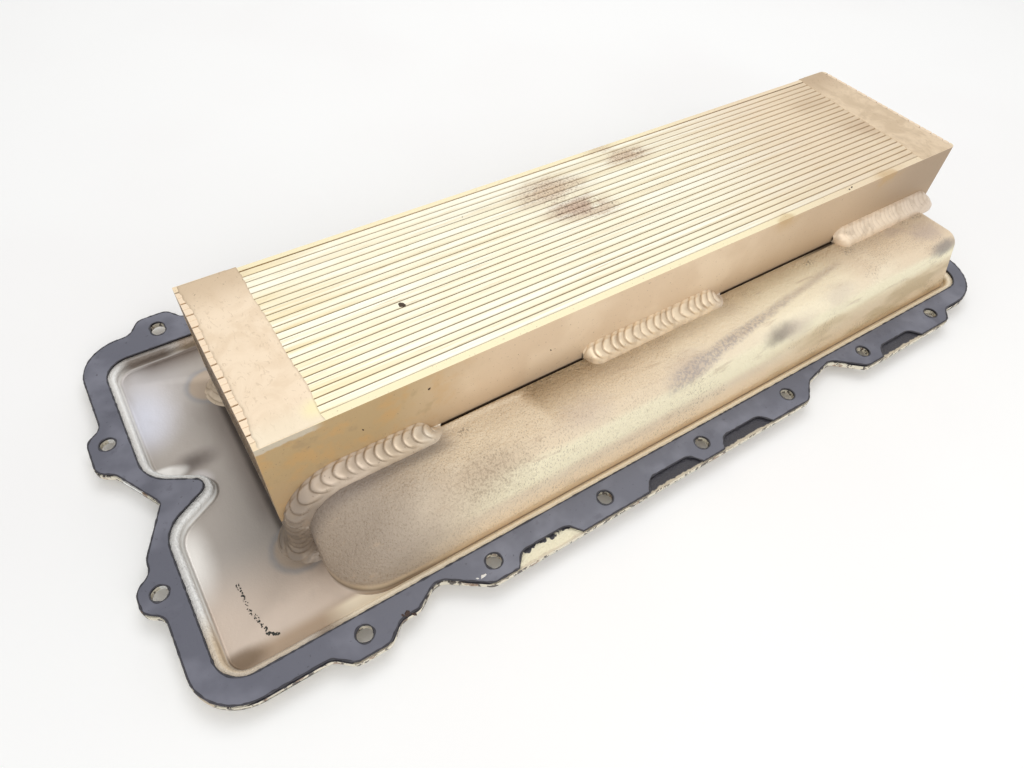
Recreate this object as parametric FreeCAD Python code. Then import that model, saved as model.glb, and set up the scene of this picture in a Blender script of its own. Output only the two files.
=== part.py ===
import FreeCAD, Part
import math
import os

# Plate engine oil cooler on a pressed aluminium cover.
# All sizes in millimetres. Drawing frame: first front bolt hole at x 0, y 0, top of the gasket at z 0.
# x runs along the row of front holes, y towards the back, z away from the engine side flange.

# Bolt holes
front_count = 7
front_end_margin = 64.0
back_count = 7
back_first_x = -27.0
back_end_margin = 46.0
back_row_inset = 3.0
low_side_row = 70.0
high_side_inset = 79.5
bolt_hole = 9.0
gasket_hole_margin = 0.2
locating_slot = 12.5

# Flange outline
left_edge = -77.0
right_overhang = 7.5
front_edge = -3.0
back_overhang = 65.8
front_tab = 8.0
front_tab_half = 9.0
front_tab_foot = 18.0
first_dip_start = 28.0
first_dip_x = 42.0
first_dip = 9.0
long_tab_lead = 6.0
second_dip_start = 21.0
second_dip_x = 46.0
second_dip = 8.5
last_tab_lead = 7.0
last_tab_tail = 6.0
front_step = 3.0
back_tab = 11.0
back_tab_half = 9.5
back_tab_foot = 17.0
side_lobe = 9.0
side_lobe_half = 7.0
side_lobe_foot = 13.0
side_hole_inset = 1.5
long_lobe_drop = 10.0
corner_round = 27.0
right_front_round = 36.0
tab_foot_round = 8.0
tab_head_round = 8.0
lobe_round = 9.0
dip_round = 8.0
notch_tip_x = -61.6
notch_offset = 5.7
notch_tip_round = 1.5
notch_start = 21.0
notch_start_round = 12.0

# Gasket
gasket_thick = 1.5
gasket_inset = 0.8
gasket_front_width = 12.8
gasket_back_width = 18.0
gasket_side_width = 12.4
gasket_right_width = 13.0
seal_round = 15.0
seal_tip_x = -33.2
seal_tip_shift = 0.4
seal_tip_round = 5.3
seal_notch_half = 18.2
seal_notch_round = 21.0
pocket_places = (1.41, 2.61, 3.40, 5.40)
pocket_mouth = 42.0
pocket_floor = 29.0
pocket_depth = 8.4
pocket_round = 7.0

# Pressed cover
sheet = 3.0
floor_depth = 6.0
strip = 4.5
bend = 2.4

# Cooler core
core_left = -12.0
core_front = 66.2
core_bottom = 17.0
core_length = 500.5
core_width = 120.0
core_height = 61.0
layer_count = 23
side_plate = 4.55
parting_sheet = 0.5
top_bar = 8.0
bottom_bar = 6.0
end_bar = 8.0
groove = 1.0
bar_crown = 0.5
core_corner = 4.0
back_land = 1.2
overlay_left = 20.0
overlay_right = 14.0
overlay_proud = 0.3
overlay_swing = 2.5
overlay_rounds = (2.0, 6.0, 8.0, 6.0)
overlay_waves = (0.12, 0.3, 0.55, 0.8)
fin_inset = 1.0
fin_thick = 0.25
fin_pitch = 6.0
turbulator_pitch = 8.0

# Ridges that hold the core
slot_gap = 1.5
ridge_top = 36.0
ridge_left = -1.5
ridge_end_gap = 1.5
ridge_base_gap = 2.5
ridge_draft = 10.0
end_draft = 8.0
nose_round = 24.0
left_shoulder = 26.0
right_shoulder = 10.0
right_end_round = 5.0
broad_length = 58.0
taper_length = 76.0

# Weld beads
bead = 10.5
first_bead_end = 79.0
middle_bead_before = 67.25
middle_bead_after = 41.25
last_bead_length = 106.0

# Oil ports
port_bore = 28.0
port_wall = 4.0
port_fit = 0.2
port_left_inset = 72.0
port_right_inset = 72.5
header_length = 48.0
header_wall = 4.0
header_round = 10.0
header_floor = 5.5

# Derived places
seal_top = -gasket_thick
flange_low = seal_top - sheet
floor_top = seal_top - floor_depth
floor_low = floor_top - sheet
core_right = core_left + core_length
core_back = core_front + core_width
core_top = core_bottom + core_height
core_mid_y = core_front + core_width / 2
layer = (core_width - 2 * side_plate - (layer_count + 1) * parting_sheet) / layer_count
step = layer + parting_sheet
right_edge = core_right + right_overhang
back_edge = core_back + back_overhang
front_pitch = (right_edge - front_end_margin) / (front_count - 1)
back_pitch = (right_edge - back_end_margin - back_first_x) / (back_count - 1)
back_row_y = back_edge - back_row_inset
side_rows_y = (low_side_row, back_edge - high_side_inset)
notch_tip_y = core_mid_y - notch_offset
seal_tip_y = notch_tip_y + seal_tip_shift
port_left_x = core_left + port_left_inset
port_right_x = core_right - port_right_inset
core_mid_x = (core_left + core_right) / 2
middle_bead = (core_mid_x - middle_bead_before, core_mid_x + middle_bead_after)
last_bead_start = core_right - last_bead_length
seal_front = front_edge + gasket_front_width
seal_back = back_edge - gasket_back_width
seal_left = left_edge + gasket_side_width
seal_right = right_edge - gasket_right_width
bowl_front = seal_front + strip
bowl_back = seal_back - strip
front_ridge_foot = bowl_front + ridge_base_gap
back_ridge_foot = 2 * core_mid_y - (bowl_back - ridge_base_gap)
ridge_right = seal_right - strip - ridge_end_gap
ridge_rear = core_front - slot_gap

# Margins of the cutting solids and of the search for edges
through = 100.0
far = 1000.0
aside = 0.1
same_place = 0.01

# The part stands on the floor of the cover, with its origin under the middle of its outline
origin_x = (left_edge + right_edge) / 2
origin_y = (front_edge - front_tab + back_edge + back_tab) / 2
to_origin = FreeCAD.Vector(-origin_x, -origin_y, -floor_low)


def save(name, shape):
    os.makedirs("parts", exist_ok=True)
    placed = shape.copy()
    placed.translate(to_origin)
    placed.exportStep("parts/" + name + ".step")


def box(x0, x1, y0, y1, z0, z1):
    return Part.makeBox(x1 - x0, y1 - y0, z1 - z0, FreeCAD.Vector(x0, y0, z0))


def rounded(corners):
    """Closed flat wire through corners given as (x, y, radius)."""
    count = len(corners)
    starts = []
    ends = []
    arcs = []
    for i in range(count):
        x, y, radius = corners[i]
        here = FreeCAD.Vector(x, y, 0)
        before = FreeCAD.Vector(*corners[i - 1][:2], 0) - here
        after = FreeCAD.Vector(*corners[(i + 1) % count][:2], 0) - here
        before.normalize()
        after.normalize()
        half = before.getAngle(after) / 2
        reach = radius / math.tan(half)
        starts.append(here + before * reach)
        ends.append(here + after * reach)
        if radius > 0:
            inward = before + after
            inward.normalize()
            middle = here + inward * (radius / math.sin(half) - radius)
            arcs.append(Part.Arc(starts[i], middle, ends[i]).toShape())
        else:
            arcs.append(None)
    edges = []
    for i in range(count):
        if arcs[i]:
            edges.append(arcs[i])
        following = starts[(i + 1) % count]
        if (following - ends[i]).Length > same_place:
            edges.append(Part.makeLine(ends[i], following))
    return Part.Wire(edges)


def slab(wire, low, high):
    """Plate between two heights with a flat wire as its outline."""
    face = Part.Face(wire)
    face.translate(FreeCAD.Vector(0, 0, low))
    return face.extrude(FreeCAD.Vector(0, 0, high - low))


def fuse_all(shapes):
    whole = shapes[0]
    if len(shapes) > 1:
        whole = whole.multiFuse(shapes[1:])
    return whole.removeSplitter()


def mirrored(shape):
    """The same shape on the other long side of the core."""
    return shape.mirror(FreeCAD.Vector(0, core_mid_y, 0), FreeCAD.Vector(0, 1, 0))


# Flange, gasket and the pressed bowl
def bolt_places():
    places = []
    for i in range(front_count):
        places.append((i * front_pitch, 0.0))
    for i in range(1, back_count):
        places.append((back_first_x + i * back_pitch, back_row_y))
    for y in side_rows_y:
        places.append((left_edge + side_hole_inset, y))
        places.append((right_edge - side_hole_inset, y))
    return places


def hole_cutters(diameter):
    cutters = []
    for x, y in bolt_places():
        place = FreeCAD.Vector(x, y, flange_low - sheet)
        cutters.append(Part.makeCylinder(diameter / 2, through, place))
    slide = (locating_slot - bolt_hole) / 2
    for y in (back_row_y - slide, back_row_y + slide):
        place = FreeCAD.Vector(back_first_x, y, flange_low - sheet)
        cutters.append(Part.makeCylinder(diameter / 2, through, place))
    radius = diameter / 2
    cutters.append(box(back_first_x - radius, back_first_x + radius, back_row_y - slide, back_row_y + slide,
                       flange_low - sheet, through))
    return cutters


def front_run():
    """Front edge: one single tab, a dip, a long tab under two bolts, a second dip and a last tab."""
    tab = front_edge - front_tab
    fifth = 4 * front_pitch
    sixth = 5 * front_pitch
    last_tab_end = 6 * front_pitch + last_tab_tail
    return [
        (-front_tab_foot, front_edge, tab_foot_round), (-front_tab_half, tab, tab_head_round),
        (front_tab_half, tab, tab_head_round), (front_tab_foot, front_edge, tab_foot_round),
        (first_dip_start, front_edge, dip_round), (first_dip_x, front_edge + first_dip, dip_round),
        (front_pitch - long_tab_lead, tab, tab_foot_round), (fifth + front_tab_half, tab, tab_foot_round),
        (fifth + second_dip_start, front_edge + front_step, lobe_round),
        (fifth + second_dip_x, front_edge + second_dip, dip_round),
        (sixth - last_tab_lead, tab, tab_head_round),
        (last_tab_end, tab, tab_head_round), (last_tab_end + dip_round, front_edge, tab_foot_round)]


def tab_bumps(places, head, foot, half, foot_half):
    """Corners of bolt tabs along one straight edge, as (place along it, depth, round)."""
    points = []
    for place in places:
        points.append((place - foot_half, foot, tab_foot_round))
        points.append((place - half, head, tab_head_round))
        points.append((place + half, head, tab_head_round))
        points.append((place + foot_half, foot, tab_foot_round))
    return points


def back_run():
    places = [back_first_x + i * back_pitch for i in range(back_count)]
    points = tab_bumps(places, back_edge + back_tab, back_edge, back_tab_half, back_tab_foot)
    return points[::-1]


def right_run():
    lobe = right_edge + side_lobe
    points = tab_bumps(side_rows_y, lobe, right_edge, side_lobe_half, side_lobe_foot)
    return [(x, y, radius) for y, x, radius in points]


def left_run():
    lobe = left_edge - side_lobe
    low, high = side_rows_y
    return [
        (left_edge, high + side_lobe_foot, tab_foot_round), (lobe, high + side_lobe_half, lobe_round),
        (lobe, high - side_lobe_half - long_lobe_drop, lobe_round),
        (left_edge, high - side_lobe_foot - long_lobe_drop, tab_foot_round),
        (notch_tip_x, notch_tip_y, notch_tip_round), (left_edge, low + notch_start, notch_start_round),
        (left_edge, low + side_lobe_foot, tab_foot_round), (lobe, low + side_lobe_half, lobe_round),
        (lobe, low - side_lobe_half, lobe_round), (left_edge, low - side_lobe_foot, tab_foot_round)]


def flange_outline():
    corners = [(left_edge, front_edge, corner_round)]
    corners += front_run()
    corners += [(right_edge, front_edge, right_front_round)]
    corners += right_run()
    corners += [(right_edge, back_edge, corner_round)]
    corners += back_run()
    corners += [(left_edge, back_edge, corner_round)]
    corners += left_run()
    return rounded(corners)


def seal_opening():
    """Inner edge of the gasket, with the inward notch on its left side."""
    return rounded([
        (seal_left, seal_front, seal_round), (seal_right, seal_front, seal_round),
        (seal_right, seal_back, seal_round), (seal_left, seal_back, seal_round),
        (seal_left, seal_tip_y + seal_notch_half, seal_notch_round),
        (seal_tip_x, seal_tip_y, seal_tip_round),
        (seal_left, seal_tip_y - seal_notch_half, seal_notch_round)])


def gasket():
    ring = slab(flange_outline().makeOffset2D(-gasket_inset), seal_top, 0)
    ring = ring.cut(slab(seal_opening(), seal_top, 0))
    mouth = front_edge - front_tab
    narrow = pocket_floor / 2
    wide = pocket_mouth - narrow
    for place in pocket_places:
        centre = place * front_pitch
        pocket = rounded([
            (centre - wide, mouth - pocket_depth, 0), (centre + wide, mouth - pocket_depth, 0),
            (centre + narrow, mouth + pocket_depth, pocket_round),
            (centre - narrow, mouth + pocket_depth, pocket_round)])
        ring = ring.cut(slab(pocket, seal_top, 0))
    return ring.cut(hole_cutters(bolt_hole + gasket_hole_margin))


def edges_at(shape, height, outline):
    """Edges of a shape that lie at one height on or near a flat wire."""
    chosen = []
    for edge in shape.Edges:
        middle = edge.valueAt((edge.FirstParameter + edge.LastParameter) / 2)
        flat = edge.BoundBox.ZLength < same_place and abs(middle.z - height) < same_place
        flat_middle = Part.Vertex(middle.x, middle.y, 0)
        if flat and outline.distToShape(flat_middle)[0] < aside:
            chosen.append(edge)
    return chosen


def bowl_solid():
    """Flange plate with the sunken floor pressed into it."""
    plate = slab(flange_outline(), flange_low, seal_top)
    inside = seal_opening().makeOffset2D(-strip)
    outside = seal_opening().makeOffset2D(-strip + sheet)
    tray = slab(outside, floor_low, flange_low)
    tray = tray.makeFillet(bend + sheet / 2, edges_at(tray, floor_low, outside))
    body = plate.fuse(tray).removeSplitter()
    body = body.cut(slab(inside, floor_top, through))
    body = body.makeFillet(bend, edges_at(body, seal_top, inside))
    body = body.makeFillet(bend, edges_at(body, floor_top, inside))
    return body


# Ridges of the cover
def ridge_section(x, base, inset, shoulder, low):
    """Wire across a ridge at one place along it, with its foot on the line y = base."""
    slope = math.tan(math.radians(ridge_draft))
    rear = ridge_rear - inset
    top = ridge_top - inset
    foot = base + inset / math.cos(math.radians(ridge_draft)) + (low - floor_top) * slope
    head = foot + (top - low) * slope
    flat = rounded([(rear, low, 0), (rear, top, 0), (head, top, shoulder - inset), (foot, low, 0)])
    flat.rotate(FreeCAD.Vector(0, 0, 0), FreeCAD.Vector(1, 1, 1), 120)
    flat.translate(FreeCAD.Vector(x, 0, 0))
    return flat


def edges_on_plane(shape, point, normal, keep):
    chosen = []
    for edge in shape.Edges:
        places = [edge.valueAt(edge.FirstParameter + (edge.LastParameter - edge.FirstParameter) * k / 4)
                  for k in range(5)]
        on_plane = all(abs((place - point).dot(normal)) < same_place for place in places)
        if on_plane and keep(places[2]):
            chosen.append(edge)
    return chosen


def ridge_form(base, inset, low):
    """Ridge in front of the core as a full solid, pulled in by a margin all round."""
    left = ridge_left + inset
    middle = left + broad_length
    narrow = middle + taper_length
    broad = Part.Face(ridge_section(left, base, inset, left_shoulder, low))
    broad = broad.extrude(FreeCAD.Vector(broad_length, 0, 0))
    taper = Part.makeLoft([
        ridge_section(middle, base, inset, left_shoulder, low),
        ridge_section(narrow, base, inset, right_shoulder, low)], True, True)
    even = Part.Face(ridge_section(narrow, base, inset, right_shoulder, low))
    even = even.extrude(FreeCAD.Vector(ridge_right + sheet - narrow, 0, 0))
    form = broad.fuse([taper, even]).removeSplitter()
    slope = math.radians(end_draft)
    normal = FreeCAD.Vector(math.cos(slope), 0, math.sin(slope))
    foot = FreeCAD.Vector(ridge_right - inset / math.cos(slope), 0, floor_top)
    cutter = Part.makeBox(far, far, far, FreeCAD.Vector(0, -far / 2, -far / 2))
    cutter.rotate(FreeCAD.Vector(0, 0, 0), FreeCAD.Vector(0, 1, 0), -end_draft)
    cutter.translate(foot)
    form = form.cut(cutter)
    inner = ridge_rear - inset - aside

    def is_outer(place):
        return place.y < inner and place.z > low + aside

    left_point = FreeCAD.Vector(left, 0, 0)
    along = FreeCAD.Vector(1, 0, 0)
    form = form.makeFillet(nose_round - inset, edges_on_plane(form, left_point, along, is_outer))
    form = form.makeFillet(right_end_round - inset / 2, edges_on_plane(form, foot, normal, is_outer))
    return form


def cover_pan():
    body = bowl_solid()
    body = body.fuse(ridge_form(front_ridge_foot, 0, floor_low))
    body = body.fuse(mirrored(ridge_form(back_ridge_foot, 0, floor_low)))
    body = body.cut(ridge_form(front_ridge_foot, sheet, floor_low - 1))
    body = body.cut(mirrored(ridge_form(back_ridge_foot, sheet, floor_low - 1)))
    body = body.cut(hole_cutters(bolt_hole))
    for x in (port_left_x, port_right_x):
        place = FreeCAD.Vector(x, core_mid_y, floor_low - 1)
        body = body.cut(Part.makeCylinder(port_bore / 2 + port_wall + port_fit, through, place))
    return body.removeSplitter()


# Layers of the core
def layer_front(i):
    return core_front + side_plate + parting_sheet + i * step


def coolant_layers():
    return range(0, layer_count, 2)


def oil_layers():
    return range(1, layer_count, 2)


def end_rebates():
    """Shallow cut at both ends of the top face that takes the braze overlays."""
    low = core_top - groove
    left = core_left + end_bar
    right = core_right - end_bar
    return [
        box(left, left + overlay_left, core_front, core_back, low, far),
        box(right - overlay_right, right, core_front, core_back, low, far)]


def top_bar_solid(i, x0, x1):
    """Long closing bar with lightly broken upper edges."""
    y = layer_front(i)
    low = core_top - top_bar
    profile = Part.makePolygon([
        FreeCAD.Vector(x0, y, low), FreeCAD.Vector(x0, y + layer, low),
        FreeCAD.Vector(x0, y + layer, core_top - bar_crown),
        FreeCAD.Vector(x0, y + layer - bar_crown, core_top),
        FreeCAD.Vector(x0, y + bar_crown, core_top),
        FreeCAD.Vector(x0, y, core_top - bar_crown), FreeCAD.Vector(x0, y, low)])
    bar = Part.Face(profile).extrude(FreeCAD.Vector(x1 - x0, 0, 0))
    return bar.cut(end_rebates())


def coolant_top_bars():
    return Part.Compound([top_bar_solid(i, core_left, core_right) for i in coolant_layers()])


def oil_top_bars():
    left = core_left + end_bar
    right = core_right - end_bar
    return Part.Compound([top_bar_solid(i, left, right) for i in oil_layers()])


def coolant_bottom_bars():
    bars = []
    for i in coolant_layers():
        y = layer_front(i)
        bars.append(box(core_left, core_right, y, y + layer, core_bottom, core_bottom + bottom_bar))
    return Part.Compound(bars)


def oil_bottom_bars():
    half = header_length / 2 - header_wall
    runs = [
        (core_left + end_bar, port_left_x - half),
        (port_left_x + half, port_right_x - half),
        (port_right_x + half, core_right - end_bar)]
    bars = []
    for i in oil_layers():
        y = layer_front(i)
        for x0, x1 in runs:
            bars.append(box(x0, x1, y, y + layer, core_bottom, core_bottom + bottom_bar))
    return Part.Compound(bars)


def oil_end_bars(x0):
    bars = []
    for i in oil_layers():
        y = layer_front(i)
        bars.append(box(x0, x0 + end_bar, y, y + layer, core_bottom, core_top))
    return Part.Compound(bars)


def parting_sheets():
    sheets = []
    for i in range(layer_count + 1):
        y = layer_front(i) - parting_sheet
        sheets.append(box(core_left, core_right, y, y + parting_sheet, core_bottom, core_top - groove))
    return Part.Compound(sheets)


def end_corner(plate, y):
    """Rounds the upright corner at the right end of a side plate."""
    corner = Part.Vertex(core_right, y, core_bottom)
    upright = [edge for edge in plate.Edges
               if edge.BoundBox.ZLength > core_height / 2 and edge.distToShape(corner)[0] < same_place]
    return plate.makeFillet(core_corner, upright)


def front_side_plate():
    plate = box(core_left, core_right, core_front, core_front + side_plate, core_bottom, core_top)
    return end_corner(plate, core_front)


def back_side_plate():
    plate = box(core_left, core_right, core_back - side_plate, core_back, core_bottom, core_top)
    inner = core_left + end_bar + overlay_left
    outer = core_right - end_bar - overlay_right
    recess = box(inner, outer, core_back - back_land, far, -far, far)
    return end_corner(plate, core_back).cut(recess)


def braze_overlay(x0, x1, inner_side):
    """Smooth braze layer over the bar ends, with an uneven edge towards the middle."""
    low = core_top - groove
    high = core_top + overlay_proud
    front = core_front + side_plate + parting_sheet
    back = core_back - side_plate - parting_sheet
    if inner_side > 0:
        plain, ragged = x0, x1
    else:
        plain, ragged = x1, x0
    outline = [(plain, front, 0), (ragged - overlay_swing * inner_side, front, 0)]
    for i, wave in enumerate(overlay_waves):
        x = ragged - overlay_swing * inner_side * (i % 2)
        outline.append((x, front + (back - front) * wave, overlay_rounds[i]))
    outline += [(ragged - overlay_swing * inner_side, back, 0), (plain, back, 0)]
    return slab(rounded(outline), low, high)


def zigzag(low, high, middle, pitch):
    """Thin corrugated strip seen from the end, as a closed wire in y and z."""
    count = max(2, int((high - low) / pitch) * 2)
    half = (layer - fin_thick) / 2
    near = []
    away = []
    for i in range(count + 1):
        side = half if i % 2 else -half
        z = low + i * (high - low) / count
        near.append(FreeCAD.Vector(0, middle + side - fin_thick / 2, z))
        away.append(FreeCAD.Vector(0, middle + side + fin_thick / 2, z))
    return Part.makePolygon(near + away[::-1] + [near[0]])


def corrugated(i, x0, x1, z0, z1, pitch):
    wire = zigzag(z0, z1, layer_front(i) + layer / 2, pitch)
    face = Part.Face(wire)
    face.translate(FreeCAD.Vector(x0, 0, 0))
    return face.extrude(FreeCAD.Vector(x1 - x0, 0, 0))


def coolant_fins():
    low = core_bottom + bottom_bar
    high = core_top - top_bar
    left = core_left + fin_inset
    right = core_right - fin_inset
    return Part.Compound([corrugated(i, left, right, low, high, fin_pitch) for i in coolant_layers()])


def oil_turbulators():
    low = core_bottom + bottom_bar
    high = core_top - top_bar
    left = core_left + end_bar
    right = core_right - end_bar
    return Part.Compound([corrugated(i, left, right, low, high, turbulator_pitch) for i in oil_layers()])


# Oil headers under the core
def oil_header(x):
    length = header_length / 2
    width = core_width / 2 - side_plate
    outline = rounded([
        (x - length, core_mid_y - width, header_round), (x + length, core_mid_y - width, header_round),
        (x + length, core_mid_y + width, header_round), (x - length, core_mid_y + width, header_round)])
    body = slab(outline, floor_top, core_bottom)
    body = body.cut(slab(outline.makeOffset2D(-header_wall), floor_top + header_floor, core_bottom))
    centre = FreeCAD.Vector(x, core_mid_y, floor_low)
    spigot = Part.makeCylinder(port_bore / 2 + port_wall, sheet + 1, centre)
    bore = Part.makeCylinder(port_bore / 2, through, centre)
    return body.fuse(spigot).removeSplitter().cut(bore)


# Weld beads between the ridges and the core
def bead_parts(x0, x1):
    """Round bar with ball ends along the top of the ridge, lying in the corner with the core."""
    start = FreeCAD.Vector(x0 + bead, core_front, ridge_top)
    end = FreeCAD.Vector(x1 - bead, core_front, ridge_top)
    bar = Part.makeCylinder(bead, end.x - start.x, start, FreeCAD.Vector(1, 0, 0))
    return [bar, Part.makeSphere(bead, start), Part.makeSphere(bead, end)]


def first_bead_bar():
    """The bead that climbs from the floor round the nose of the ridge."""
    foot = FreeCAD.Vector(ridge_left, core_front, floor_top)
    bend_low = FreeCAD.Vector(ridge_left, core_front, ridge_top - nose_round)
    bend_high = FreeCAD.Vector(ridge_left + nose_round, core_front, ridge_top)
    end = FreeCAD.Vector(first_bead_end - bead, core_front, ridge_top)
    away = nose_round * (1 - math.sqrt(0.5))
    middle = FreeCAD.Vector(ridge_left + away, core_front, ridge_top - away)
    path = Part.Wire([
        Part.makeLine(foot, bend_low), Part.Arc(bend_low, middle, bend_high).toShape(),
        Part.makeLine(bend_high, end)])
    ring = Part.Wire(Part.makeCircle(bead, foot, FreeCAD.Vector(0, 0, 1)))
    bar = path.makePipeShell([ring], True, False)
    return bar.fuse(Part.makeSphere(bead, end))


def seat_bead(shape, ridge):
    core_block = box(core_left, core_right + far, core_front, far, core_bottom, far)
    under = box(-far, far, -far, far, -far, floor_top)
    seated = shape.cut([core_block, ridge, under])
    solids = sorted(seated.Solids, key=lambda s: s.Volume)
    return solids[-1]


def beads(ridge_foot):
    ridge = ridge_form(ridge_foot, 0, floor_low)
    shapes = [
        ("left_weld_bead", first_bead_bar()),
        ("middle_weld_bead", fuse_all(bead_parts(*middle_bead))),
        ("right_weld_bead", fuse_all(bead_parts(last_bead_start, core_right)))]
    return [(name, seat_bead(shape, ridge)) for name, shape in shapes]


def build():
    save("cover_pan", cover_pan())
    save("gasket", gasket())
    save("front_side_plate", front_side_plate())
    save("back_side_plate", back_side_plate())
    save("parting_sheets", parting_sheets())
    save("coolant_top_bars", coolant_top_bars())
    save("coolant_bottom_bars", coolant_bottom_bars())
    save("oil_top_bars", oil_top_bars())
    save("oil_bottom_bars", oil_bottom_bars())
    save("left_oil_end_bars", oil_end_bars(core_left))
    save("right_oil_end_bars", oil_end_bars(core_right - end_bar))
    save("coolant_fins", coolant_fins())
    save("oil_turbulators", oil_turbulators())
    left = core_left + end_bar
    right = core_right - end_bar
    save("left_braze_overlay", braze_overlay(left, left + overlay_left, 1))
    save("right_braze_overlay", braze_overlay(right - overlay_right, right, -1))
    save("oil_inlet_header", oil_header(port_left_x))
    save("oil_outlet_header", oil_header(port_right_x))
    for name, bead_shape in beads(front_ridge_foot):
        save("front_" + name, bead_shape)
    for name, bead_shape in beads(back_ridge_foot):
        save("back_" + name, mirrored(bead_shape))


build()
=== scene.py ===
import math
import random

import bmesh
import bpy
from mathutils import Matrix, Vector, noise


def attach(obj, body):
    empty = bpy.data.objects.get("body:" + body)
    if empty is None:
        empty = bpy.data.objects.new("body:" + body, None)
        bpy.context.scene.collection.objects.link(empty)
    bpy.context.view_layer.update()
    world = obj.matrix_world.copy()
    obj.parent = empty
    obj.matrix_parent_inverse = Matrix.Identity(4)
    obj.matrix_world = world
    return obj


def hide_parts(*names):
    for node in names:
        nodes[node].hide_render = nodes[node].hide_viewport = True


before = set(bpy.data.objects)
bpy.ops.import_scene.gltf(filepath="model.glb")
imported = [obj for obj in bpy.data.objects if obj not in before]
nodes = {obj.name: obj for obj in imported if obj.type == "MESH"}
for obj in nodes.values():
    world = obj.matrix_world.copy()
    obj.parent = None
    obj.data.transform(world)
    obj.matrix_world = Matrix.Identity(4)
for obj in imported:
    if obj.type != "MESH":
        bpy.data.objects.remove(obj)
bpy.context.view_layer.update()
MM = 0.001

# Sizes that the looks share with the solids, in millimetres of the row frame
CORE_FRONT = -59.8
CORE_BACK = 60.2
CORE_MID = 0.2
CORE_LEFT = -221.5
CORE_RIGHT = 279.0
CORE_BOTTOM = 27.5
CORE_TOP = 88.5
RIDGE_TOP = 46.5
RIDGE_LEFT = -211.0
NOSE_ROUND = 24.0
RIDGE_FOOT = -109.6
FLOOR = 3.0
GASKET_TOP = 10.5
FRONT_HALF = (0.0, -10.0)

# Scoop of the ridge noses: across the ridge, along it, the corner's round in plan, and face size
SCOOP_NEAR = -69.0
SCOOP_FULL = -90.0
SCOOP_START = -170.0
SCOOP_END = -118.0
SCOOP_LENGTH = 54.0
SCOOP_TURN = -85.2
NOSE_CORNER = 24.0
FINE_EDGE = 3.2

# Weld beads: rows are a step apart along them, columns go round them
BEAD_RADIUS = 10.5
BEAD_STEP = 0.35
BEAD_COLUMNS = 44
CLOSE_SET = 24.0
CLOSE_PITCH = 0.62
CREST = 0.62
FOOT_FLARE = 6.6
FOOT_HEIGHT = 4.0


def ease(t):
    """Smooth step from 0 to 1."""
    return t * t * (3 - 2 * t)


def linear(red, green, blue):
    """Colour given in the photograph's 0 to 255 scale, as the shaders want it."""
    out = []
    for value in (red, green, blue):
        c = value / 255
        out.append(c / 12.92 if c <= 0.04045 else ((c + 0.055) / 1.055) ** 2.4)
    return (*out, 1.0)


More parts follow.
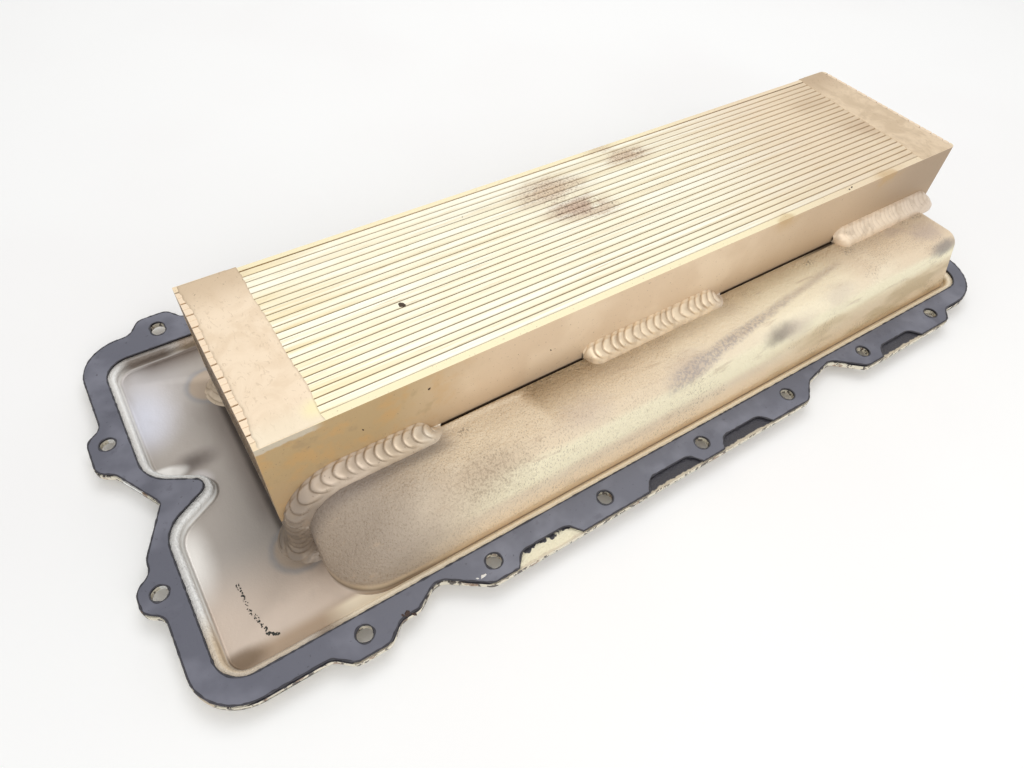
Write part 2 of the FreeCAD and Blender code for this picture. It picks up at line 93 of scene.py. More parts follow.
class Surface:
    """Builds one procedural material. Distances are in millimetres of the row frame."""

    def __init__(self, name):
        self.material = bpy.data.materials.new(name)
        self.material.use_nodes = True
        self.tree = self.material.node_tree
        self.tree.nodes.clear()
        self.output = self.add("ShaderNodeOutputMaterial")
        self.shader = self.add("ShaderNodeBsdfPrincipled")
        self.link(self.shader.outputs[0], self.output.inputs[0])
        coordinates = self.add("ShaderNodeTexCoord")
        self.place = self.scaled(coordinates.outputs["Object"], 1000.0)
        parts = self.add("ShaderNodeSeparateXYZ")
        self.link(self.place, parts.inputs[0])
        self.x, self.y, self.z = parts.outputs
        geometry = self.add("ShaderNodeNewGeometry")
        facing = self.add("ShaderNodeSeparateXYZ")
        self.link(geometry.outputs["True Normal"], facing.inputs[0])
        self.nx, self.ny, self.nz = facing.outputs
        self.colour = None
        self.bumped = None

    def add(self, kind, **settings):
        node = self.tree.nodes.new(kind)
        for key, value in settings.items():
            setattr(node, key, value)
        return node

    def link(self, source, target):
        self.tree.links.new(source, target)

    def feed(self, value, socket):
        if isinstance(value, (int, float, tuple)):
            socket.default_value = value
        else:
            self.link(value, socket)

    def scaled(self, vector, amount):
        node = self.add("ShaderNodeVectorMath", operation="MULTIPLY")
        self.link(vector, node.inputs[0])
        node.inputs[1].default_value = amount if isinstance(amount, tuple) else (amount,) * 3
        return node.outputs[0]

    def math(self, operation, a, b=0.0, clamp=False):
        node = self.add("ShaderNodeMath", operation=operation, use_clamp=clamp)
        self.feed(a, node.inputs[0])
        self.feed(b, node.inputs[1])
        return node.outputs[0]

    def ramp(self, value, low, high):
        """0 at low, 1 at high, smooth between; low may be the larger one."""
        node = self.add("ShaderNodeMapRange", interpolation_type="SMOOTHSTEP")
        self.feed(value, node.inputs["Value"])
        if low < high:
            limits = (low, high, 0.0, 1.0)
        else:
            limits = (high, low, 1.0, 0.0)
        for key, number in zip(("From Min", "From Max", "To Min", "To Max"), limits):
            node.inputs[key].default_value = number
        return node.outputs[0]

    def both(self, *masks):
        whole = masks[0]
        for mask in masks[1:]:
            whole = self.math("MULTIPLY", whole, mask)
        return whole

    def any_of(self, *masks):
        whole = masks[0]
        for mask in masks[1:]:
            whole = self.math("MAXIMUM", whole, mask)
        return whole

    def noise(self, size, detail=4.0, roughness=0.55, stretch=(1.0, 1.0, 1.0), distortion=0.0):
        """Noise whose features are about size millimetres wide."""
        node = self.add("ShaderNodeTexNoise")
        place = self.place if stretch == (1.0, 1.0, 1.0) else self.scaled(self.place, stretch)
        self.link(place, node.inputs["Vector"])
        node.inputs["Scale"].default_value = 1.0 / size
        node.inputs["Detail"].default_value = detail
        node.inputs["Roughness"].default_value = roughness
        node.inputs["Distortion"].default_value = distortion
        return node.outputs[0]

    def blob(self, centre, reach, soft=0.6, wobble=0.0, squash=(1.0, 1.0, 1.0), grain=8.0):
        """1 near a point, 0 beyond its reach, with an uneven rim."""
        node = self.add("ShaderNodeVectorMath", operation="DISTANCE")
        self.link(self.scaled(self.place, squash), node.inputs[0])
        node.inputs[1].default_value = tuple(c * s for c, s in zip(centre, squash))
        distance = node.outputs["Value"]
        if wobble:
            uneven = self.math("SUBTRACT", self.noise(grain), 0.5)
            distance = self.math("ADD", distance, self.math("MULTIPLY", uneven, wobble))
        return self.ramp(distance, reach, reach * (1 - soft))

    def paint(self, mask, colour, strength=1.0):
        """Lays a colour over what is there, where the mask is 1."""
        if self.colour is None:
            self.colour = colour
            return
        node = self.add("ShaderNodeMix", data_type="RGBA", blend_type="MIX")
        if strength != 1.0:
            mask = self.math("MULTIPLY", mask, strength)
        self.feed(mask, node.inputs["Factor"])
        self.feed(self.colour, node.inputs[6])
        self.feed(colour, node.inputs[7])
        self.colour = node.outputs[2]

    def darken(self, mask, amount):
        """Multiplies the colour by 1 - amount where the mask is 1."""
        node = self.add("ShaderNodeMix", data_type="RGBA", blend_type="MULTIPLY")
        self.feed(mask, node.inputs["Factor"])
        self.feed(self.colour, node.inputs[6])
        node.inputs[7].default_value = tuple(1 - a for a in amount) + (1.0,)
        self.colour = node.outputs[2]

    def bump(self, height, depth, strength=1.0):
        """Relief of about depth millimetres."""
        node = self.add("ShaderNodeBump")
        node.inputs["Strength"].default_value = strength
        node.inputs["Distance"].default_value = depth * MM
        self.link(height, node.inputs["Height"])
        if self.bumped is not None:
            self.link(self.bumped, node.inputs["Normal"])
        self.bumped = node.outputs[0]

    def done(self, metallic, roughness):
        self.feed(self.colour, self.shader.inputs["Base Color"])
        self.feed(metallic, self.shader.inputs["Metallic"])
        self.feed(roughness, self.shader.inputs["Roughness"])
        if self.bumped is not None:
            self.link(self.bumped, self.shader.inputs["Normal"])
        return self.material


def wear(material, *names):
    """Gives a material to CAD nodes."""
    for name in names:
        node = nodes[name]
        node.data.materials.clear()
        node.data.materials.append(material)


# ---- Materials of the solids ----
def pressed_sheet():
    s = Surface("pressed_sheet")
    fine = s.noise(2.2, 3.0, 0.6)
    coarse = s.noise(30.0, 3.0, 0.5)
    cloud = s.noise(75.0, 3.0, 0.55)
    grain = s.noise(1.5, 3.0, 0.6)

    # Warm tan ridge with paler areas, painted highlights along its shoulders and painted shade on its
    # front wall at the right
    s.paint(1.0, linear(238, 219, 191))
    s.paint(s.ramp(cloud, 0.42, 0.62), linear(246, 231, 203))
    s.paint(s.ramp(coarse, 0.52, 0.72), linear(228, 207, 177), 0.6)
    upper = s.both(s.ramp(s.z, 36, 42), s.ramp(s.x, 40, -30), s.ramp(s.x, -150, -110))
    s.paint(upper, linear(234, 214, 184), 0.7)
    # Painted highlight along the upper shoulder; below it a painted highlight along the lower shoulder
    # near the foot
    shoulder_highlight = s.both(s.ramp(s.z, 20, 28), s.ramp(s.z, 44, 38), s.ramp(s.x, -160, -112))
    s.paint(shoulder_highlight, linear(255, 246, 214), 0.9)
    s.paint(s.both(s.ramp(s.z, 22, 13), s.ramp(s.z, 4, 9)), linear(250, 228, 196), 0.9)
    # Painted highlight on the shoulder at the right
    lit = s.both(s.ramp(s.z, 38, 44), s.ramp(s.x, 60, 100), s.ramp(s.x, 172, 140))
    s.paint(lit, linear(255, 244, 214), 0.7)
    s.paint(s.both(s.ramp(s.z, 38, 44), s.ramp(s.x, 175, 215)), linear(234, 212, 182), 0.8)
    # Painted shade on the front wall at the right, with painted shade streaks down it
    shaded_wall = s.both(s.ramp(s.z, 34, 26), s.ramp(s.x, 60, 130))
    s.paint(shaded_wall, linear(228, 206, 172), 0.7)
    wall_shade_streaks = s.noise(22.0, 2.0, 0.5, (0.5, 1.0, 1.6))
    s.paint(s.both(shaded_wall, s.ramp(wall_shade_streaks, 0.46, 0.62)), linear(202, 180, 142), 0.7)

    # Grey, grainy nose, its grey tone deepened by painted shade of its falling slope, darkest where it
    # meets the floor
    on_ridge = s.ramp(s.z, 5.0, 9.0)
    # Grey tone of the nose, with painted shade standing in for the shade of its slope
    wandering = s.math("ADD", s.x, s.math("MULTIPLY", s.noise(14.0), 16.0))
    nose = s.both(s.ramp(wandering, -112, -176), on_ridge)
    s.paint(nose, linear(172, 156, 139), 0.95)
    tip = s.both(s.ramp(s.x, -172, -204), on_ridge)
    s.paint(tip, linear(168, 151, 133), 0.9)
    worn = s.blob((-126, -98, 42), 24, 0.95, 12.0, (0.6, 1.2, 1.0), 9.0)
    s.paint(s.both(worn, on_ridge), linear(184, 162, 136), 0.6)
    s.paint(s.both(worn, s.ramp(grain, 0.46, 0.62), on_ridge), linear(150, 128, 104), 0.5)
    # Darker line along the nose's foot, where it meets the floor
    nose_foot_line = s.both(s.ramp(s.x, -140, -185), s.ramp(s.z, 7.5, 4.0), s.ramp(s.z, 2.8, 3.4),
                  s.ramp(s.x, -240, -225))
    s.paint(nose_foot_line, linear(96, 78, 60), 0.85)
    ticks = s.ramp(s.noise(1.0, 2.0, 0.6, (1.3, 1.0, 0.6)), 0.52, 0.68)
    ticked = s.any_of(nose, s.math("MULTIPLY", s.ramp(s.x, 60, -40), 0.7), s.ramp(coarse, 0.50, 0.62))
    s.paint(s.both(ticks, ticked, on_ridge), linear(138, 118, 96), 0.5)

    # Grey smudges and streaks on the ridge, and a painted shade line along its top
    smudge = s.blob((84, -104, 41), 11, 0.8, 5.0, (0.55, 1.1, 1.0), 7.0)
    s.paint(smudge, linear(116, 104, 98), 0.75)
    s.paint(s.blob((100, -104, 38), 13, 0.95, 8.0, (0.6, 1.0, 0.9), 9.0), linear(200, 182, 168), 0.5)
    corner = s.blob((247, -101, 41), 8.5, 0.75, 4.0, (0.42, 1.2, 1.0), 6.0)
    s.paint(corner, linear(132, 124, 122), 0.75)
    for place, reach, amount in (
            ((243, -86, 46), 14, 0.6), ((14, -95, 45), 14, 0.4), ((140, -98, 44), 13, 0.35),
            ((-60, -92, 46), 16, 0.35), ((222, -74, 46), 8, 0.4)):
        mask = s.blob(place, reach, 0.9, 12.0, (0.6, 1.1, 0.8), 9.0)
        s.paint(s.both(mask, on_ridge), linear(192, 172, 160), amount)
    # Painted shade line along the ridge top, wider at the left, with grey dots on it
    bent = s.math("ADD", s.y, s.math("MULTIPLY", s.math("SUBTRACT", s.x, 145.0), -0.138))
    bent = s.math("ADD", bent, s.math("MULTIPLY", s.noise(16.0), 5.0))
    off = s.math("ABSOLUTE", s.math("ADD", bent, 74.5 + 3.0))
    wide = s.math("SUBTRACT", off, s.math("MULTIPLY", s.ramp(s.x, 120, 20), 2.0))
    run = s.both(s.ramp(wide, 4.2, 0.2), s.ramp(s.x, -14, 6), s.ramp(s.x, 168, 150), s.ramp(s.z, 34, 40))
    dotted = s.ramp(s.noise(2.0, 3.0, 0.7), 0.42, 0.60)
    s.paint(run, linear(196, 178, 160), 0.55)
    s.paint(s.both(run, dotted, s.ramp(s.x, 130, 60)), linear(156, 148, 148), 0.55)
    streak = s.noise(7.0, 3.0, 0.6, (0.25, 1.6, 1.0))
    s.paint(s.both(s.ramp(streak, 0.60, 0.75), on_ridge), linear(196, 172, 146), 0.45)
    pitted = s.ramp(s.noise(1.6, 3.0, 0.7), 0.46, 0.60)
    for place, reach in (
            ((143.5, -67.7, RIDGE_TOP), 4.0), ((176.0, -73.0, RIDGE_TOP), 4.0),
            ((250.8, -70.6, RIDGE_TOP), 4.4), ((237.0, -71.6, RIDGE_TOP), 3.0),
            ((-123.0, -70.0, RIDGE_TOP), 3.6)):
        spot = s.blob(place, reach, 0.9, 4.0, (0.5, 1.0, 1.0), 3.0)
        s.paint(s.both(spot, pitted, on_ridge), linear(112, 96, 84), 0.6)

    # Slot between ridge and core: painted highlight on the ridge's rim, painted shade on its rear wall
    # inside the slot
    above = s.ramp(s.z, 42, 45)
    # Painted highlight along the ridge's rim by the slot
    s.paint(s.both(above, s.ramp(s.y, -66.5, -64.5), s.ramp(s.y, *FRONT_HALF)), linear(255, 240, 214), 0.6)
    # Painted shade on the ridge's rear wall inside the slot
    behind = s.both(s.ramp(s.ny, 0.5, 0.9), s.ramp(s.y, -63.0, -61.8), s.ramp(s.y, *FRONT_HALF), on_ridge)
    s.paint(behind, linear(70, 50, 34))
    # Deeper painted shade in the slot left of the right bead
    s.paint(s.both(above, s.ramp(s.x, 130, 166), s.ramp(s.x, 178, 172), s.ramp(s.y, -63.4, -62.2),
                   s.ramp(s.y, *FRONT_HALF)), linear(44, 31, 22), 0.9)

    # Heat tint along the welds, with painted shade beside the beads and a painted shadow line under the
    # left bead's toe
    for x0, x1 in ((-211, -130), (-38, 70), (173, 268)):
        run = s.both(s.ramp(s.x, x0 - 6, x0 + 6), s.ramp(s.x, x1 + 6, x1 - 6))
        # Heat tint and painted shade beside each bead
        heat_tint_and_shade = s.both(run, s.ramp(s.y, -82, -72), s.ramp(s.z, 40, 46))
        s.paint(heat_tint_and_shade, linear(160, 146, 134), 0.4 if x0 < -100 else 0.22)
    # Painted shadow line under the left bead's toe
    toe = s.both(s.ramp(s.x, -128, -142), s.ramp(s.y, -78, -71), s.ramp(s.y, 0, -10), on_ridge)
    s.paint(toe, linear(112, 100, 92), 0.6)

    # Smooth floor: silvery at the left, tan towards the front; painted shade at the back, by the notch,
    # along the front and round the core, with painted highlights by the notch and a painted reflection in
    # the middle
    in_bowl = s.ramp(s.z, 4.6, 3.2)
    s.paint(in_bowl, linear(168, 160, 152))
    silver = s.blob((-263, 82, 3), 44, 0.95, 8.0, (1.0, 0.75, 1.0), 30.0)
    s.paint(s.both(in_bowl, silver), linear(194, 190, 190), 0.85)
    # Painted lilac reflection in the middle of the floor
    lilac_reflection = s.blob((-265, 60, 3), 26, 0.95, 6.0, (1.0, 0.75, 1.0), 30.0)
    s.paint(s.both(in_bowl, lilac_reflection), linear(212, 214, 226), 0.75)
    # Painted shade at the back-left, under the back flank
    back_shade = s.both(s.ramp(s.y, 84, 106), s.ramp(s.x, -264, -246))
    s.paint(s.both(in_bowl, back_shade), linear(102, 88, 78), 0.9)
    # Painted shadow just behind the notch's tip
    notch_shadow = s.blob((-247, 17, 3), 14, 0.95, 6.0, (0.8, 1.3, 1.0), 12.0)
    s.paint(s.both(in_bowl, notch_shadow), linear(84, 74, 68), 0.85)
    # Painted highlights by the notch: a bright band along its side and a paler patch at its tip
    notch_side_highlight = s.blob((-268, 15, 3), 9, 0.4, 2.0, (0.5, 1.2, 1.0), 12.0)
    s.paint(s.both(in_bowl, notch_side_highlight), linear(240, 237, 232), 0.85)
    notch_tip_highlight = s.blob((-249, 2, 3), 8, 0.5, 2.0, (0.9, 0.8, 1.0), 12.0)
    s.paint(s.both(in_bowl, notch_tip_highlight), linear(208, 202, 200), 0.7)
    # Painted shadow of the core on the floor beside its left end
    s.paint(s.both(in_bowl, s.ramp(s.x, -236, -224), s.ramp(s.y, -50, -30), s.ramp(s.y, 66, 50)),
            linear(128, 116, 108), 0.6)
    tan = s.ramp(s.y, -44, -84)
    s.paint(s.both(in_bowl, tan), linear(198, 182, 167))
    # Painted shade along the floor's front edge, deepest in the front-left corner
    s.paint(s.both(in_bowl, s.ramp(s.y, -98, -106)), linear(150, 124, 94), 0.7)
    front_corner_shade = s.blob((-264, -105, 3), 11, 0.7, 3.0, (0.6, 1.3, 1.0))
    s.paint(s.both(in_bowl, front_corner_shade), linear(104, 84, 62), 0.75)
    # Painted shadow on the floor at the foot of the core's left end
    s.paint(s.both(in_bowl, s.ramp(s.x, -225.5, -221.5), s.ramp(s.y, -58, -52), s.ramp(s.y, 62, 56)),
            linear(62, 51, 43), 0.85)
    # Painted highlight on the floor below the notch
    low_left_highlight = s.blob((-269, -42, 3), 22, 0.9, 4.0, (1.4, 0.6, 1.0), 20.0)
    s.paint(s.both(in_bowl, low_left_highlight), linear(238, 234, 228), 0.9)
    drip = s.ramp(s.noise(16.0, 3.0, 0.5, (1.0, 0.5, 1.0)), 0.5, 0.7)
    s.paint(s.both(in_bowl, drip), linear(150, 139, 130), 0.22)
    # Painted shade on the floor under the core
    under_core_shade = s.both(s.ramp(s.x, -216, -206), s.ramp(s.y, -58, -54), s.ramp(s.y, 58, 54))
    s.paint(s.both(in_bowl, under_core_shade), linear(120, 104, 88), 0.6)
    for x, y in ((-218.5, -63.0), (-222.5, 68.0)):
        halo = s.blob((x, y, 3), 17, 0.25, 3.0)
        ring = s.blob((x, y, 3), 14, 0.25, 2.0)
        s.paint(s.both(in_bowl, halo), linear(140, 140, 142), 0.65)
        s.paint(s.both(in_bowl, ring), linear(176, 157, 136), 0.8)

    # Drawn flanks round the floor, painted near white as a highlight of their bends, with painted shade at
    # the back and on faces turned to the back, and painted light in the groove before the ridge
    # Painted highlight: the flanks near white
    flank = s.both(s.ramp(s.z, 3.2, 4.2), s.ramp(s.z, 9.4, 8.8), s.ramp(s.x, -225, -240))
    s.paint(flank, linear(255, 255, 252))
    s.paint(s.both(flank, s.ramp(s.y, -70, -96)), linear(214, 192, 160), 0.9)
    # Painted shade on the back flank
    s.paint(s.both(flank, s.ramp(s.y, 82, 100), s.ramp(s.x, -272, -258)), linear(104, 88, 74), 0.92)
    # Painted shade on flank faces turned to the back, by the notch
    s.paint(s.both(flank, s.ramp(s.ny, 0.2, 0.7), s.ramp(s.y, 0, -8)), linear(150, 144, 142), 0.5)
    # Painted light on the groove's walls in front of the ridge, in place of its shade
    strip_front = s.both(s.ramp(s.z, 2.6, 3.0), s.ramp(s.z, 9.6, 9.0), s.ramp(s.y, -101, -105),
                         s.ramp(s.x, -225, -205))
    s.paint(s.both(strip_front, s.ramp(s.ny, -0.3, 0.1)), linear(255, 241, 214), 0.95)

    # Chipped cream paint outside the gasket
    notch = s.both(s.ramp(s.x, -271.0, -272.0), s.ramp(s.y, -18.0, -17.0), s.ramp(s.y, 7.0, 6.0))
    outside = s.any_of(s.ramp(s.y, -119.5, -120.5), s.ramp(s.x, -284.0, -285.0), notch,
                       s.ramp(s.x, 280.5, 281.5), s.ramp(s.y, 118.5, 119.5))
    rim = s.both(outside, s.ramp(s.z, 2.0, 4.0))
    s.paint(rim, linear(232, 224, 204))
    chips = s.noise(3.6, 4.0, 0.65, (1.0, 1.0, 0.7))
    s.paint(s.both(rim, s.ramp(chips, 0.52, 0.56)), linear(92, 84, 78))
    s.paint(s.both(rim, s.ramp(s.noise(9.0, 3.0), 0.60, 0.66)), linear(150, 116, 92), 0.8)
    pockets = s.both(rim, s.ramp(s.nz, 0.5, 0.9), s.ramp(s.y, -127.0, -128.0))
    s.paint(pockets, linear(58, 56, 62))
    uneven = s.math("MULTIPLY", s.math("SUBTRACT", s.noise(5.0, 3.0, 0.6), 0.5), 9.0)
    torn = s.math("ADD", s.y, uneven)
    cream = s.both(s.ramp(torn, -129.6, -130.2), s.ramp(s.x, -130, -127), s.ramp(s.x, -86, -89))
    s.paint(s.both(pockets, cream), linear(243, 234, 205))
    frayed = s.math("ADD", s.y, s.math("MULTIPLY", uneven, 0.35))
    s.paint(s.both(pockets, s.ramp(frayed, -135.2, -136.0)), linear(218, 205, 180), 0.8)
    under = s.both(s.ramp(s.nz, -0.2, -0.6), s.ramp(s.z, 7.0, 6.2))
    s.paint(under, linear(214, 206, 190), 0.8)

    # Fine orange peel on the ridge, smooth floor
    peel = s.math("ADD", s.noise(1.15, 2.0, 0.6), s.math("MULTIPLY", s.noise(3.0, 2.0, 0.5), 0.8))
    deep = s.math("MULTIPLY", peel, s.math("ADD", s.math("MULTIPLY", on_ridge, 0.94), 0.06))
    s.bump(deep, 0.95, 0.85)
    s.bump(fine, 0.12, 0.4)
    smooth = s.ramp(s.z, 10.0, 5.5)
    flat_floor = s.both(smooth, s.math("SUBTRACT", 1.0, s.any_of(rim, flank, strip_front)))
    metallic = s.math("ADD", s.math("MULTIPLY", flat_floor, 0.42), 0.02)
    rough = s.math("SUBTRACT", 0.56, s.math("MULTIPLY", smooth, 0.13))
    return s.done(metallic, rough)


def gasket_rubber():
    s = Surface("gasket_rubber")
    s.paint(1.0, linear(93, 94, 106))
    s.paint(s.ramp(s.noise(26.0, 3.0, 0.5), 0.42, 0.68), linear(116, 117, 129))
    s.paint(s.ramp(s.noise(9.0, 4.0, 0.6), 0.58, 0.72), linear(84, 84, 96), 0.7)
    s.paint(s.ramp(s.noise(2.2, 3.0, 0.7), 0.66, 0.72), linear(58, 58, 66), 0.7)
    s.paint(s.ramp(s.nz, 0.6, 0.2), linear(34, 33, 38))
    s.bump(s.noise(1.2, 3.0, 0.6), 0.08, 0.5)
    s.bump(s.noise(12.0, 2.0, 0.5), 0.4, 0.35)
    return s.done(0.0, 0.36)


def edge_lip():
    s = Surface("gasket_lip")
    s.paint(1.0, linear(44, 43, 50))
    s.paint(s.ramp(s.noise(4.0, 3.0, 0.6), 0.5, 0.7), linear(70, 68, 76), 0.8)
    s.bump(s.noise(0.8, 3.0, 0.6), 0.15, 0.6)
    return s.done(0.0, 0.5)


def stains(s, top):
    """Soft brown marks of the core with fine speckles, shared by its bars and plates."""
    speckle = s.ramp(s.noise(1.5, 3.0, 0.75), 0.50, 0.58)
    soft = s.ramp(s.noise(13.0, 3.0, 0.6, (0.5, 1.0, 1.0)), 0.36, 0.56)
    for place, reach, amount, tone in (
            ((0, 35, 88), 22, 0.75, (204, 178, 150)), ((5, 13, 88), 17, 0.9, (192, 164, 142)),
            ((17, 3, 88), 12, 0.5, (204, 180, 158)), ((67, 42, 88), 15, 0.75, (200, 172, 142)),
            ((55, 58, 88), 10, 0.5, (206, 180, 150)), ((246, -12, 88), 22, 0.5, (190, 162, 130)),
            ((228, 30, 88), 16, 0.4, (196, 170, 138)), ((208, -60, 88), 11, 0.55, (190, 152, 92)),
            ((112, -60, 88), 9, 0.5, (192, 156, 98)), ((-203, 54, 88), 13, 0.8, (204, 178, 144))):
        mask = s.blob(place, reach, 0.9, 9.0, (0.55, 1.1, 0.8), 9.0)
        s.paint(s.both(mask, s.any_of(soft, s.ramp(mask, 0.5, 0.9))), linear(*tone), amount)
        if tone[2] > 100 and place[0] < 100:
            strength = amount * (0.8 if top else 0.5)
            s.paint(s.both(s.ramp(mask, 0.15, 0.8), speckle), linear(122, 98, 80), strength)


def core_bars():
    s = Surface("core_bars")
    number = s.math("FLOOR", s.math("DIVIDE", s.math("ADD", s.y, 60.0), 4.8))
    lane = s.add("ShaderNodeTexWhiteNoise", noise_dimensions="1D")
    s.link(number, lane.inputs["W"])
    streak = s.noise(3.2, 3.0, 0.6, (0.03, 1.0, 1.0))
    cloud = s.noise(60.0, 3.0, 0.5)
    s.paint(1.0, linear(248, 245, 226))
    s.paint(s.ramp(lane.outputs["Value"], 0.3, 0.9), linear(240, 230, 196), 0.6)
    s.paint(s.ramp(streak, 0.45, 0.65), linear(232, 217, 182), 0.65)
    s.paint(s.ramp(cloud, 0.45, 0.65), linear(246, 236, 206), 0.7)
    s.paint(s.ramp(s.x, 60, 200), linear(226, 203, 172), 0.75)
    s.paint(s.both(s.ramp(s.x, 190, 265), s.ramp(cloud, 0.3, 0.5)), linear(205, 181, 148), 0.75)
    yellow = s.both(s.ramp(s.x, -120, -190), s.ramp(streak, 0.35, 0.6))
    s.paint(yellow, linear(236, 216, 164), 0.5)
    thin = s.ramp(s.noise(0.55, 2.0, 0.6, (0.02, 1.0, 1.0)), 0.62, 0.72)
    s.paint(thin, linear(190, 164, 116), 0.55)
    # Darker between the bars: brown braze joints with painted shade in the gaps, lighter towards the
    # middle
    low = s.ramp(s.z, 88.25, 87.85)
    s.paint(s.both(low, s.ramp(s.z, 60, 80)), linear(164, 134, 92), 0.75)
    s.paint(s.both(low, s.ramp(s.z, 60, 80), s.ramp(s.x, 40, 120)), linear(214, 184, 146), 0.7)
    stains(s, True)
    ends = s.any_of(s.ramp(s.x, CORE_LEFT + 8, CORE_LEFT + 6),
                    s.ramp(s.x, CORE_RIGHT - 7, CORE_RIGHT - 5))
    s.paint(s.both(ends, s.ramp(s.z, 87.2, 87.9)), linear(238, 215, 186), 0.95)
    s.paint(s.ramp(s.z, 84, 60), linear(176, 152, 120), 0.8)
    # Painted shade on the core's left end, which faces away from the light, with its plate stripes
    shaded_left_face = s.ramp(s.nx, -0.5, -0.9)
    s.paint(shaded_left_face, linear(112, 88, 64), 0.85)
    upright = s.ramp(s.noise(2.4, 3.0, 0.6, (1.0, 1.0, 0.15)), 0.5, 0.6)
    s.paint(s.both(shaded_left_face, upright), linear(58, 44, 34), 0.8)
    # Painted shadow of the gap under the core, on the lower part of its left end
    s.paint(s.both(shaded_left_face, s.ramp(s.z, 74, 58)), linear(34, 26, 20), 0.9)
    s.bump(streak, 0.25, 0.5)
    s.bump(s.noise(0.8, 3.0, 0.6), 0.06, 0.5)
    return s.done(0.25, 0.42)


def core_plate():
    s = Surface("core_plate")
    cloud = s.noise(34.0, 3.0, 0.55)
    s.paint(1.0, linear(222, 198, 168))
    s.paint(s.ramp(cloud, 0.42, 0.64), linear(231, 209, 180))
    golden = s.ramp(s.math("ADD", s.x, s.math("MULTIPLY", s.z, -0.25)), -110, -185)
    s.paint(golden, linear(184, 156, 110), 0.9)
    warm = s.both(golden, s.ramp(s.noise(15.0, 4.0, 0.6), 0.46, 0.66))
    s.paint(warm, linear(205, 162, 104), 0.6)
    s.paint(s.both(golden, s.ramp(s.noise(11.0, 3.0), 0.55, 0.7)), linear(170, 146, 110), 0.6)
    s.paint(s.ramp(s.x, 50, 150), linear(197, 172, 142), 0.85)
    s.paint(s.ramp(s.x, 160, 250), linear(160, 136, 109), 0.85)
    s.paint(s.ramp(s.z, 66, 48), linear(188, 160, 126), 0.45)
    dripping = s.math("ADD", s.z, s.math("MULTIPLY", s.noise(6.0), 3.0))
    ledge = s.both(s.ramp(dripping, 85.6, 87.2), s.ramp(s.x, -188, -196), s.ramp(s.nz, 0.5, 0.1))
    s.paint(ledge, linear(206, 196, 176), 0.9)
    # Painted shade on the core's face inside the slot, below the ridge top
    slot_face_shade = s.both(s.ramp(s.ny, -0.5, -0.9), s.ramp(s.z, 47.0, 46.2), s.ramp(s.x, -196, -186))
    s.paint(slot_face_shade, linear(72, 52, 36), 0.95)
    top = s.both(s.ramp(s.nz, 0.5, 0.9), s.ramp(s.z, 80, 86))
    s.paint(top, linear(243, 231, 192))
    s.paint(s.both(top, s.ramp(s.x, 60, 200)), linear(228, 206, 176), 0.8)
    smear = s.both(top, s.ramp(s.math("ADD", s.x, s.math("MULTIPLY", s.noise(8.0), 8.0)), -188, -192))
    s.paint(smear, linear(238, 216, 182))
    stains(s, False)
    pin = s.ramp(s.noise(1.1, 2.0, 0.5), 0.68, 0.76)
    s.paint(pin, linear(140, 112, 84), 0.6)
    s.bump(s.noise(1.1, 3.0, 0.6, (1.0, 1.0, 0.7)), 0.22, 0.5)
    return s.done(0.2, 0.48)


def braze(name, pale, mid, dark):
    """Matt brazed skin with fine swirls."""
    s = Surface(name)
    wave = s.noise(16.0, 4.0, 0.6, (1.0, 0.8, 1.0), 0.8)
    swirl = s.noise(3.0, 3.0, 0.6, (1.0, 0.45, 1.0), 2.2)
    s.paint(1.0, pale)
    s.paint(s.ramp(wave, 0.42, 0.64), mid)
    s.paint(s.ramp(swirl, 0.58, 0.66), dark, 0.4)
    s.paint(s.ramp(s.y, 26, 56), dark, 0.8)
    s.paint(s.both(s.ramp(s.y, -40, -56), s.ramp(s.x, -180, -186)), linear(243, 230, 204), 0.6)
    s.paint(s.blob((-190, -51, 88), 9, 0.9, 5.0), linear(246, 234, 178), 0.6)
    specks = s.both(s.ramp(s.noise(1.6, 2.0, 0.6), 0.66, 0.74), s.ramp(s.y, 20, 45))
    s.paint(specks, linear(120, 96, 72), 0.7)
    s.bump(wave, 0.5, 0.4)
    s.bump(s.noise(1.4, 3.0, 0.6), 0.1, 0.4)
    return s.done(0.15, 0.48)


def inner_metal():
    s = Surface("inner_metal")
    s.paint(1.0, linear(170, 146, 116))
    s.paint(s.ramp(s.noise(5.0, 4.0, 0.6), 0.45, 0.65), linear(132, 108, 82))
    s.bump(s.noise(1.0, 3.0, 0.6), 0.1, 0.5)
    return s.done(0.4, 0.5)


def cast_metal():
    s = Surface("cast_metal")
    s.paint(1.0, linear(176, 168, 156))
    s.paint(s.ramp(s.noise(8.0, 4.0, 0.6), 0.45, 0.65), linear(150, 140, 126))
    s.bump(s.noise(0.9, 4.0, 0.7), 0.2, 0.6)
    return s.done(0.5, 0.55)


def weld_metal(name, shades, line):
    """Rippled bead. Shades are (from, to, colour) along it, the line is the colour of the painted shade
    between ripples.
    """
    s = Surface(name)
    ripple_shade = s.add("ShaderNodeAttribute", attribute_name="ripple_shade").outputs["Fac"]
    along = s.add("ShaderNodeAttribute", attribute_name="along").outputs["Fac"]
    s.paint(1.0, shades[0][2])
    for low, high, colour in shades[1:]:
        s.paint(s.ramp(along, low, high), colour)
    s.paint(s.ramp(s.noise(7.0, 3.0, 0.5), 0.46, 0.66), linear(178, 158, 134), 0.35)
    # Painted shade between the ripples
    s.paint(ripple_shade, line, 0.7)
    s.paint(s.ramp(s.noise(1.6, 2.0, 0.6), 0.68, 0.74), linear(110, 92, 76), 0.5)
    s.bump(s.noise(0.8, 3.0, 0.6), 0.06, 0.4)
    return s.done(0.3, 0.38)


